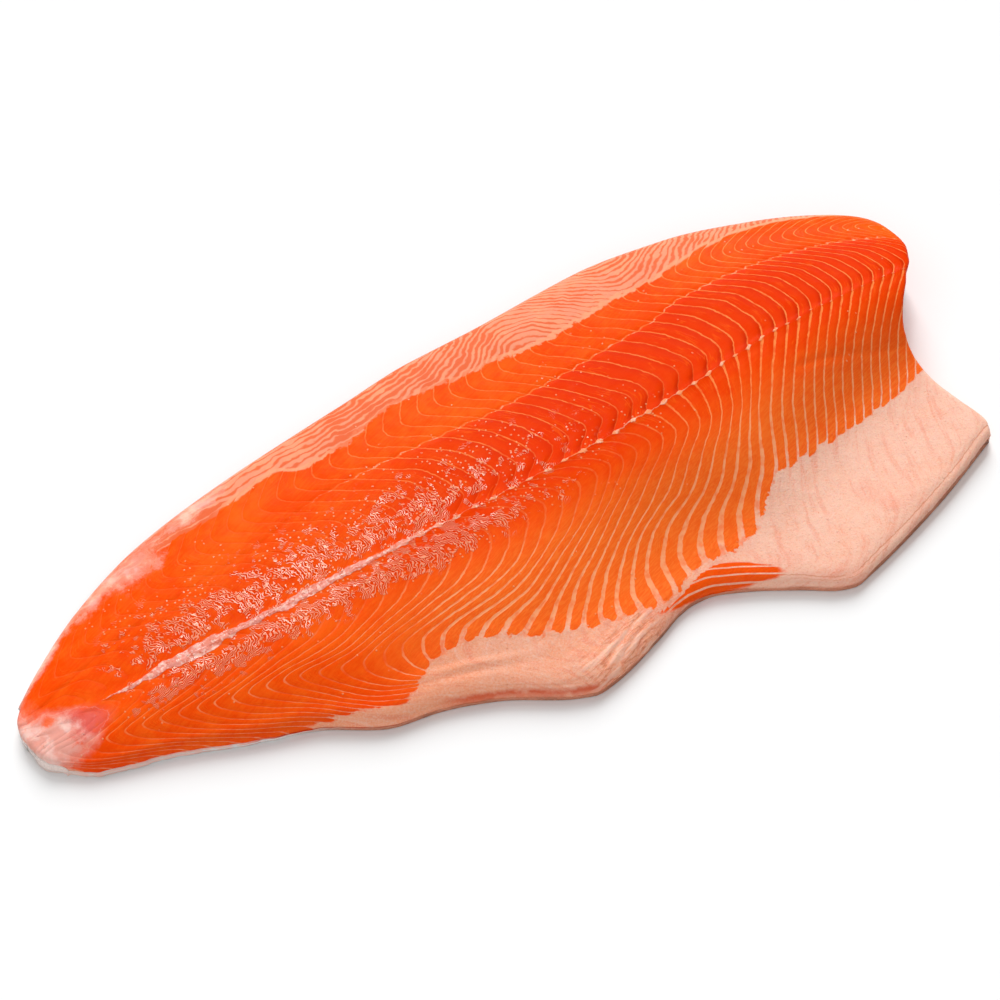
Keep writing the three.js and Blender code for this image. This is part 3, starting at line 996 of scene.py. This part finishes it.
# %% Curled ridges
RIDGES_A_FLAKE, RIDGE_CURL = 7.0, 4.2
curl = net.sway(300.0, detail=1.0)
ridge_at = net.zigzag(net.add(net.times(number, RIDGES_A_FLAKE), net.times(curl, RIDGE_CURL)))
clump = net.add(net.noise(140.0, detail=1.0), net.times(net.sway(330.0, detail=1.0), 0.5))
ridge_here = net.times(net.ease(0.63, 0.7, net.add(clump, net.times(get("crinkled"), 0.25))),
                       net.ease(0.03, 0.2, net.add(get("crinkled"), net.times(get("far_belt"), 0.1))))
ridges = net.times(net.fade(0.12, 0.28, ridge_at), ridge_here)
# Mask for the painted shade in the gaps between the ridges.
ridge_gap_shade = net.times(net.ease(0.3, 0.42, ridge_at), ridge_here)
print("the ridges are", round(MIDDLE_PITCH / RIDGES_A_FLAKE, 1), "mm apart")

# %% Droplets
DROP_CELLS = 310.0
drop_cells = net.cells(DROP_CELLS, voronoi_dimensions="2D")
drop_here = net.ease(0.94, 0.96, net.add(net.pick(drop_cells, 0), net.times(get("far_belt"), 0.5)))
drop_patches = net.ease(0.44, 0.55, net.add(net.noise(40.0), net.times(get("far_belt"), 0.12), -0.07))
drops_and_glints = net.times(net.fade(0.12, 0.2, drop_cells["Distance"]), drop_here, drop_patches)
print("droplets in cells of", round(1 / DROP_CELLS / MM, 1), "mm")

# %% [markdown]
# ## Belly fat
#
# The pale flap and the lobes are fat with a little muscle in it. It is mottled in pink and cream, and
# shows faint strands where the sheets run on under it. A brown line runs along its rim, in the groove
# there, with a second one inside it, and its wall shows layers. The mid lobe has creased, with painted
# shade in the creases and painted highlights on the folds, and its edge is red, partly from muscle and
# partly as painted shade. The walls are painted darker towards the floor as shade. By the notch a
# striped patch of muscle shows again. All this is low and fine, so it is paint with a little bump.

# %% Fat tones
LINE_COLOUR = paint(251, 138, 72)
LINE_LIGHT = paint(254, 164, 114)
FAT = paint(247, 160, 120)
FAT_LIGHT = paint(247, 198, 176)
FAT_RED = paint(234, 132, 104)
mottle = net.noise(60.0, detail=5.0, rough=0.7)
PALE_LOBE_SPAN = (120.0, 170.0, 250.0, 300.0)
grains = net.noise(650.0)
fat_tone = net.add(net.times(mottle, 0.65), net.times(grains, 0.35))
fat_share = net.add(net.times(get("fat_pale"), 0.8), net.times(net.take(fat_tone, 0.5), 1.3), 0.06)
lobe_pale = net.span("along", *PALE_LOBE_SPAN)
fat = net.mix(net.ease(0.0, 1.0, net.add(fat_share, net.times(lobe_pale, 0.06))), FAT, FAT_LIGHT)
fat = net.over(fat, FAT_RED, net.patches(0.52, 0.7, 30.0, detail=3.0), 0.4)
print("fat is mottled, and paler towards the head")

# %% Strands and crumbs in the fat
strands = net.noise(1.0, along_sheets(1.6, 0.035), detail=3.0, rough=0.65)
fat = net.over(fat, FAT_RED, net.ease(0.5, 0.66, strands), net.blend(get("fat_pale"), 0.45, 0.3))
fat = net.over(fat, FAT_LIGHT, net.ease(0.54, 0.66, net.take(1.0, strands)), 0.4)
crumbs = net.noise(1100.0)
fat = net.over(fat, FAT_LIGHT, net.ease(0.5, 0.62, crumbs), 0.35)
fat = net.over(fat, FAT_RED, net.ease(0.56, 0.7, net.take(1.0, crumbs)), 0.3)
print("strands run on where the sheets lie under the fat")

# %% Rim and wall of the flap
BROWN_MARKS_AND_SHADE = paint(206, 108, 66)
WALL_LAYERS = 2.6
rim_at = net.add(get("rim_off"), net.times(net.sway(240.0), 1.6))
rim_line = net.times(net.near(0.25, 0.3, rim_at), net.patches(0.3, 0.45, 70.0))
inner_line = net.times(net.near(0.15, 0.25, net.add(rim_at, 1.9)), net.patches(0.5, 0.6, 60.0))
wall_layers = net.zigzag(net.add(net.times(get("cut_side"), WALL_LAYERS), wobble))
wall_line = net.times(net.fade(0.04, 0.12, wall_layers), net.past("cut_side", 0.12, 0.2))
rim_marks = net.times(net.most(net.most(rim_line, inner_line), net.times(wall_line, 0.8)), get("fat_pale"))
fat = net.over(fat, BROWN_MARKS_AND_SHADE, rim_marks, 0.65)
print("brown lines along the rim and on the wall")

# %% Red edge of the mid lobe, and painted shade low on the walls
WALL_RED_AND_SHADE = paint(214, 72, 26)
RED_EDGE_SPAN, RED_EDGE_OUT = (182.0, 205.0, 258.0, 275.0), 3.5
on_lobe = net.span("along", *RED_EDGE_SPAN)
# The lobe's edge and wall are painted red: partly the muscle in the cut and partly painted shade on the wall.
wall_red_and_shade = net.times(net.near(1.1, 1.3, net.add(rim_at, RED_EDGE_OUT)), on_lobe)
fat = net.over(fat, WALL_RED_AND_SHADE, wall_red_and_shade, net.patches(0.2, 0.45, 100.0), 0.8)
# Painted shade: every wall is painted browner towards the floor.
fat = net.over(fat, BROWN_MARKS_AND_SHADE, net.past("cut_side", 0.5, 1.0), 0.3)
print("the lobe's edge is red, and every wall browner below")

# %% Folds on the mid lobe
FOLD_TURN, FOLD_SPAN = 14, (250.0, 266.0, 298.0, 318.0)
fold_grain = net.noise(260.0, net.spot(FOLD_TURN, (5, 1, 1)))
folded = net.times(net.span("along", *FOLD_SPAN), net.before("rim_off", 8.0, 20.0))
# Painted shade in the creases between the folds, and painted highlight on the fold tops.
crease_shade = net.times(net.threads(0.035, fold_grain), folded)
fold_top_highlight = net.times(net.ease(0.56, 0.64, fold_grain), folded)
fat = net.over(fat, FAT_LIGHT, fold_top_highlight, 0.6)
fat = net.over(fat, BROWN_MARKS_AND_SHADE, crease_shade, 0.6)
print("the folds lie at", FOLD_TURN, "degrees")

# %% Specks
speck_cells = net.cells(190.0)
speck_here = net.ease(0.55, 0.6, net.pick(speck_cells, 1))
specks = net.times(net.fade(0.05, 0.1, speck_cells["Distance"]), speck_here)
fat = net.over(fat, BROWN_MARKS_AND_SHADE, specks, 0.45)
print("small brown specks in the fat")

# %% Muscle, lines and fat together
FAT_FADE = 12.0
in_fat = net.fade(-1.0, FAT_FADE, finger)
rib_side = net.ease(8.0, 45.0, below_midline)
line_paint = net.mix(in_fat, net.mix(rib_side, LINE_COLOUR, LINE_LIGHT), fat)
colour = net.mix(line, muscle, line_paint)
print("the pale lines turn into fat over the last", FAT_FADE, "mm")

# %% Striped patch
patch_line = net.zigzag(net.add(get("patch_line"), net.times(wobble, 0.25)))
patch_end = net.add(get("patch"), net.times(net.noise(150.0), 0.2))
patch_mask = net.times(net.ease(0.0, 0.12, net.take(patch_end, 0.1)), net.ease(0.07, 0.13, patch_line))
colour = net.mix(patch_mask, colour, net.mix(fibres, MUSCLE, PALE_MUSCLE))
print("muscle shows again in a striped patch by the notch")

# %% [markdown]
# ## Back fat
#
# Along the back lies a strip of pale fat with a ragged edge, and orange streaks of muscle show in it.
# The streaks are a zigzag, as the sheets are, bent by the slope table above. A thin darker line at
# the edge is painted shade along the back edge.

# %% Streaks of the back fat
BACK_FAT_COLOUR = paint(232, 152, 120)
BACK_STREAK = paint(226, 106, 66)
STREAK_SOFT = 0.12
streak_wave = net.add(net.times(net.sway(90.0), 1.7), net.times(net.take(clouds, 0.5), 2.5),
                      net.times(curl, 0.35))
off_streak = net.zigzag(net.add(get("streak"), streak_wave))
streak_gap = net.add(net.times(get("back_pale"), 0.44), net.times(net.sway(75.0, detail=3.0), 0.8))
pale_streak = net.inside(streak_gap, STREAK_SOFT, off_streak)
back_paint = net.mix(pale_streak, BACK_STREAK, net.mix(net.ease(0.4, 0.7, mottle), BACK_FAT_COLOUR, FAT))
print("orange streaks in pale back fat")

# %% Edges of the back fat
back_edge = net.take(get("back_in"), net.add(net.times(which, 2.4), ragged))
back_mask = net.fade(-0.6, 0.6, back_edge)
fat_strip = net.times(net.near(1.4, 0.7, net.add(back_edge, 1.0)), net.past("back_pale", 0.2, 0.6))
colour = net.over(colour, back_paint, back_mask, 0.9)
colour = net.over(colour, FAT, fat_strip, 0.8)
# Painted shade: a thin brown line along the back edge, from 170 mm on.
EDGE_SHADE_PLACE, EDGE_SHADE_FROM = (0.97, 0.985), (170.0, 210.0)
back_edge_shade = net.times(net.past("place", *EDGE_SHADE_PLACE), net.past("along", *EDGE_SHADE_FROM))
colour = net.over(colour, BROWN_MARKS_AND_SHADE, back_edge_shade, 0.5)
print("back fat starts at the back fat line")

# %% [markdown]
# ## Seam and midline
#
# The seam is a thin pale line where the flakes turn round. Along the midline lies a strip of membrane
# over the tail half, frayed at its edges and broken by red gaps. Over the head half only small pale
# knots are left of it, one at each sheet, where the pin bones end.

# %% Seam
dots = net.patches(0.52, 0.62, 480.0, detail=1.0)
SEAM_HALF, SEAM_SOFT, SEAM_FROM = 0.35, 0.25, (170.0, 240.0)
seam_at = net.add(get("seam_off"), net.times(wobble, 2.0), net.times(off_sheet, 2.5), -0.6)
seam_show = net.times(net.near(SEAM_HALF, SEAM_SOFT, seam_at), net.past("along", *SEAM_FROM),
                      net.blend(dots, 0.5, 0.9))
colour = net.mix(seam_show, colour, net.mix(dots, LINE_COLOUR, FAT))
print("a broken pale line along the seam")

# %% Width of the strip
KNOTS_FROM, KNOTS_SHRINK = (195.0, 240.0), (440.0, 480.0)
STRIP_SOFT = 0.3
knot_shrink = net.blend(net.before("along", *KNOTS_SHRINK), 0.45, 1.0)
knot_size = net.times(net.fade(0.04, 0.28, off_sheet), net.blend(which, 0.7, 1.3),
                      net.past("along", *KNOTS_FROM), knot_shrink)
strip_sway = net.blend(net.patches(0.38, 0.6, 42.0), 0.5, 1.1)
half_strip = net.add(net.times(get("strip_width"), strip_sway), knot_size)
teeth = net.sway(170.0, detail=3.0)
from_midline = net.size_of(net.add(get("off_midline"), net.times(wobble, 3.5), net.times(shiver, 1.2)))
from_midline = net.add(from_midline, net.times(teeth, 2.6, net.past("strip_width", 0.6, 2.0)))
strip = net.inside(half_strip, STRIP_SOFT, net.add(from_midline, STRIP_SOFT))
print("the strip breaks up into knots from", KNOTS_FROM[0], "mm on")

# %% Colour of the strip
STRIP_COLOUR = paint(234, 158, 144)
STRIP_LIGHT = paint(249, 208, 194)
STRIP_DARK = paint(214, 110, 84)
KNOT_PALE = paint(250, 190, 158)
KNOT_COLOUR_FROM = (190.0, 290.0)
red_gaps = net.patches(0.54, 0.62, 380.0)
strip_paint = net.over(STRIP_COLOUR, FAT_RED, net.ease(0.45, 0.65, blotches), 0.5)
strip_paint = net.over(strip_paint, STRIP_DARK, red_gaps, 0.7)
strip_paint = net.over(strip_paint, STRIP_LIGHT, dots, 0.8)
strip_paint = net.mix(net.past("along", *KNOT_COLOUR_FROM), strip_paint, net.mix(dots, LINE_LIGHT, KNOT_PALE))
colour = net.over(colour, strip_paint, strip, 0.85)
print("midline strip and its knots painted")

# %% Paint the crinkled belts
RIDGE_PALE_AND_HIGHLIGHT = paint(250, 166, 134)
off_strip = net.without(strip)
# Painted shade: the belts are darkened a little, and more in the gaps between the ridges.
colour = net.over(colour, SHADE_RED, get("crinkled"), off_strip, 0.2)
colour = net.over(colour, SHADE_RED, ridge_gap_shade, off_strip, 0.45)
# The ridges are painted pale, partly as the whitish crinkled film and partly as painted highlights on their
# wet tops.
colour = net.over(colour, RIDGE_PALE_AND_HIGHLIGHT, ridges, off_strip, 0.75)
# The droplets are painted pale as beads of fat and as painted glints on them.
colour = net.over(colour, LINE_LIGHT, drops_and_glints, off_strip, net.without(in_fat), 0.65)
print("ridges and droplets painted")

# %% [markdown]
# ## Membrane
#
# The tail tip is cut through bloodless tissue under a milky membrane, and scraps of the same membrane
# are left along the back. Each has a cloudy mask whose edge is frayed by noise, and lets a little of
# the muscle through.

# %% Membrane over the tail
FILM = paint(234, 172, 158)
FILM_LIGHT = paint(246, 214, 204)
FILM_PINK = paint(222, 78, 70)
thin_spots = net.sway(90.0, detail=5.0, rough=0.7)
film_edge = net.add(get("film_in"), net.times(net.take(mottle, 0.5), 16.0), net.times(thin_spots, 14.0))
film_mask = net.ease(-8.0, 10.0, film_edge)
pink_share = net.ease(0.2, 0.7, net.add(get("film_pink"), net.times(thin_spots, 1.2)))
bare_share = net.ease(0.2, 0.8, net.add(get("bare_spot"), net.times(thin_spots, 2.5)))
film_colour = net.mix(net.patches(0.4, 0.62, 75.0, detail=4.0, rough=0.65), FILM, FILM_LIGHT)
film_colour = net.over(film_colour, FILM_PINK, pink_share, 0.9)
film_colour = net.over(film_colour, PALE_MUSCLE, bare_share, 0.8)
colour = net.over(colour, film_colour, film_mask, 0.85)
print("membrane over the tail, with a pink and a bare spot")

# %% Scraps of membrane along the back
membrane_edge = net.add(get("membrane"), net.times(net.take(mottle, 0.5), 1.6), net.times(thin_spots, 1.8))
SCRAPS_TO = (150.0, 190.0)
back_rim = net.times(net.ease(0.93, 1.0, net.add(get("place"), net.times(wobble, 0.06))),
                     net.before("along", *SCRAPS_TO))
membrane_mask = net.most(net.ease(-0.1, 0.9, membrane_edge), net.times(back_rim, 0.6))
membrane_colour = net.mix(net.ease(0.42, 0.6, blotches), FAT_LIGHT, FILM)
membrane_show = net.blend(net.patches(0.4, 0.6, 140.0, detail=3.0), 0.5, 0.9)
colour = net.over(colour, membrane_colour, membrane_mask, membrane_show)
film_rim = net.most(net.near(0.4, 0.5, film_edge), net.near(0.02, 0.05, net.take(membrane_edge, 0.3)))
colour = net.over(colour, FILM_LIGHT, film_rim, 0.15)
print(len(MEMBRANES), "scraps of membrane along the back")

# %% Belly wall near the tail
PALE_TO, SHADE_FROM, SHADE_TO = (85.0, 120.0), (85.0, 115.0), (160.0, 180.0)
belly_wall = net.times(net.past("cut_side", 0.15, 0.4), net.ease(0.2, 0.5, net.minus(get("place"))))
# Painted shade on the belly wall from 85 to 180 mm along; the pale paint nearer the tail is its own white
# edge.
wall_shade = net.times(belly_wall, net.past("along", *SHADE_FROM), net.before("along", *SHADE_TO))
colour = net.over(colour, SHADE_RED, wall_shade, 0.6)
colour = net.over(colour, FILM_LIGHT, belly_wall, net.before("along", *PALE_TO), 0.85)
print("the wall is pale at the tail and dark from", SHADE_FROM[0], "mm on")

# %% [markdown]
# ## Surface of the flesh
#
# All the marks above have a little height too: sheets are grooves, ridges and drops stand up, and fat
# is lumpy. They feed one bump node. The coat is strongest where the flesh is wettest, and a trace of
# subsurface light softens it, as in any raw flesh. The plain specular light is kept very low, because
# the low key would otherwise lay a bluish glare over the orange.

# %% Flesh surface
film_height, film_rough = wet_film(net, 700.0, 0.6, 0.42)
covered = net.most(film_mask, membrane_mask)
groove = net.times(net.ease(0.0, 0.16, off_sheet), net.without(in_fat))
bumps = net.add(net.times(film_height, 0.2), net.times(groove, 0.12), net.times(ridges, 0.6),
                net.times(drops_and_glints, 0.6), net.times(mottle, in_fat, 2.4), net.times(crumbs, in_fat, 0.5),
                net.times(strip, 0.5), net.times(fine_lines, 0.12), net.times(covered, 0.4),
                net.times(fold_grain, folded, 2.5))
gloss = net.add(net.times(ridges, 0.3), net.times(drops_and_glints, 0.25), net.times(strip, 0.2),
                net.times(in_fat, 0.12), net.times(covered, 0.1))
dress(flesh, flesh_material, net, {
    "Base Color": colour, "Roughness": film_rough, "Normal": bumpy(net, bumps, 0.7, 0.0006),
    "Coat Weight": gloss, "Coat Roughness": 0.1, "IOR": 1.4, "Specular IOR Level": 0.015,
    "Subsurface Weight": 0.1, "Subsurface Scale": 0.002, "Subsurface Radius": (1.0, 0.35, 0.15)})
print("flesh material:", len(flesh_material.node_tree.nodes), "nodes")

# %% [markdown]
# ## The skin material
#
# The skin is silver with a dark back and a white belly, and small scales in rows. A few dark spots
# lie above the lateral line, which runs where the midline of the flesh does. Its cut rim is the
# colour of the fat along the belly flap, and pale round the tail.

# %% Skin colours
skin_material, net = new_material("salmon skin")
get = net.attribute
SILVER = paint(188, 190, 192)
DARK_BACK = paint(72, 84, 92)
WHITE_BELLY = paint(240, 234, 230)
CUT_RIM = paint(232, 150, 116)
PALE_TAIL = paint(244, 220, 210)
TAIL_TO, RIM_CUT_FROM = (20.0, 70.0), (110.0, 150.0)
cloud = net.noise(18.0, detail=3.0)
to_back = net.add(get("place"), net.times(net.take(cloud, 0.5), 0.25))
colour = net.mix(net.ease(0.25, 0.85, to_back), SILVER, DARK_BACK)
colour = net.mix(net.ease(0.25, 0.8, net.minus(to_back)), colour, WHITE_BELLY)
belly_rim = net.times(net.ease(0.8, 0.95, net.minus(get("place"))), net.past("along", *RIM_CUT_FROM))
colour = net.mix(belly_rim, colour, CUT_RIM)
at_tail = net.before("along", *TAIL_TO)
colour = net.over(colour, PALE_TAIL, at_tail, 0.85)
print("silver, with a dark back and a white belly")

# %% Scales, spots and the lateral line
SCALE = 2.6
SPOT_DARK = paint(30, 32, 34)
LATERAL_GREY = paint(96, 104, 108)
scales = net.cells(1000 / SCALE, net.spot(stretch=(1.0, 0.7, 1.0)), 0.35, feature="DISTANCE_TO_EDGE")
scale_edge = net.fade(0.02, 0.14, scales["Distance"])
edge_show = net.blend(net.past("place", -0.6, 0.1), 0.08, 0.35)
colour = net.over(colour, DARK_BACK, scale_edge, edge_show)
dark_spots = net.cells(34.0)
spot_mask = net.fade(0.1, 0.15, dark_spots["Distance"])
spot_mask = net.times(spot_mask, net.past("place", 0.15, 0.4))
colour = net.over(colour, SPOT_DARK, spot_mask, 0.8)
lateral = net.near(0.75, 0.35, get("off_midline"))
colour = net.over(colour, LATERAL_GREY, lateral, 0.6)
print("scales every", SCALE, "mm")

# %% Surface of the skin
film_height, film_rough = wet_film(net, 500.0, 0.3, 0.4)
bumps = net.add(net.times(scales["Distance"], 2.0), net.times(film_height, 0.4))
dress(skin, skin_material, net, {
    "Base Color": colour, "Roughness": film_rough, "Normal": bumpy(net, bumps, 0.5, 0.0004),
    "Metallic": net.times(net.blend(net.past("place", -0.6, 0.2), 0.0, 0.45), net.without(at_tail)),
    "Coat Weight": 0.4, "Coat Roughness": 0.15})
print("skin material:", len(skin_material.node_tree.nodes), "nodes")

# %% [markdown]
# ## Tying the pieces to the frame
#
# Both pieces belong to the one body of the frame, and together they take the place of its one solid.

# %% Tie both pieces
for piece in (flesh, skin):
    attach(piece, "root")
    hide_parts("fillet")
print("pieces tied:", flesh.name, skin.name)

# %% [markdown]
# ## Floor, light and camera
#
# The side lies on a plain pale floor under soft light. The lights are far off, so they light the
# whole side evenly. The key is broad and low behind the back edge, which lets the loin throw a short
# shadow past the belly. A wide fill comes from the front, and a small high light gives the wet spots
# their glints. A pale sky all round keeps the shadows from going black.

# %% Floor
FLOOR_HALF = 6.0
FLOOR_GREY = (0.93, 0.93, 0.93, 1.0)
floor_mesh = bmesh.new()
bmesh.ops.create_grid(floor_mesh, x_segments=1, y_segments=1, size=FLOOR_HALF)
floor_data = bpy.data.meshes.new("floor")
floor_mesh.to_mesh(floor_data)
floor_mesh.free()
floor = new_object("floor", floor_data)
floor_material, net = new_material("pale floor")
dress(floor, floor_material, net, {"Base Color": FLOOR_GREY, "Roughness": 0.9, "Specular IOR Level": 0.1})
floor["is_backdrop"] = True
print("floor", floor.dimensions[:2])


# %% Point a light or camera
def aim(thing, position, target):
    """Puts a light or camera at a position and points it at a target."""
    thing.location = position
    thing.rotation_mode = "QUATERNION"
    thing.rotation_quaternion = (Vector(target) - Vector(position)).to_track_quat("-Z", "Y")


def direction(turn, rise):
    """The way to a compass turn, 0 in front of the belly edge, and a rise, both in radians."""
    return math.sin(turn) * math.cos(rise), -math.cos(turn) * math.cos(rise), math.sin(rise)


print("straight up is", [round(c, 3) for c in direction(0, math.radians(90))])


# %% Lights
LIGHTS = {"key": (150, 33, 40, 3.3), "glint": (165, 60, 8, 0.35), "fill": (-50, 45, 90, 1.15)}
LIGHT_DISTANCE = 3
SKY_STRENGTH = 0.18
for name, (turn, rise, spread, strength) in LIGHTS.items():
    light = bpy.data.lights.new(name, "SUN")
    light.angle, light.energy = math.radians(spread), strength
    way = direction(math.radians(turn), math.radians(rise))
    aim(new_object(name, light), [part * LIGHT_DISTANCE for part in way], (0, 0, 0))
world = bpy.data.worlds.new("pale room")
world.use_nodes = True
sky = world.node_tree.nodes["Background"].inputs
sky["Color"].default_value = (1.0, 1.0, 1.0, 1.0)
sky["Strength"].default_value = SKY_STRENGTH
bpy.context.scene.world = world
print("lights placed:", ", ".join(LIGHTS))

# %% Camera
CAMERA_TURN, CAMERA_RISE = math.radians(-32.33), math.radians(55.0)
CAMERA_DISTANCE = 1.478
CAMERA_TARGET = Vector((0.00482, 0.02318, 0.0))
LENS, SENSOR = 100.8, 36.0
camera_data = bpy.data.cameras.new("camera")
camera_data.lens, camera_data.sensor_width = LENS, SENSOR
camera = new_object("camera", camera_data)
camera_way = Vector(direction(CAMERA_TURN, CAMERA_RISE))
aim(camera, CAMERA_TARGET + camera_way * CAMERA_DISTANCE, CAMERA_TARGET)
bpy.context.scene.camera = camera
bpy.context.scene.view_settings.view_transform = "Standard"
print("camera at", [round(c, 3) for c in camera.location])

# %% [markdown]
# ## Size and finish
#
# The dressed pieces are meant to keep to the solid's own box, so both boxes are printed at the end.

# %% Print both boxes
seen_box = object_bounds()
for name, box in (("frame", cad_box), ("scene", seen_box)):
    print(name, "in mm:", [round(c / MM, 1) for c in box[0]], [round(c / MM, 1) for c in box[1]])
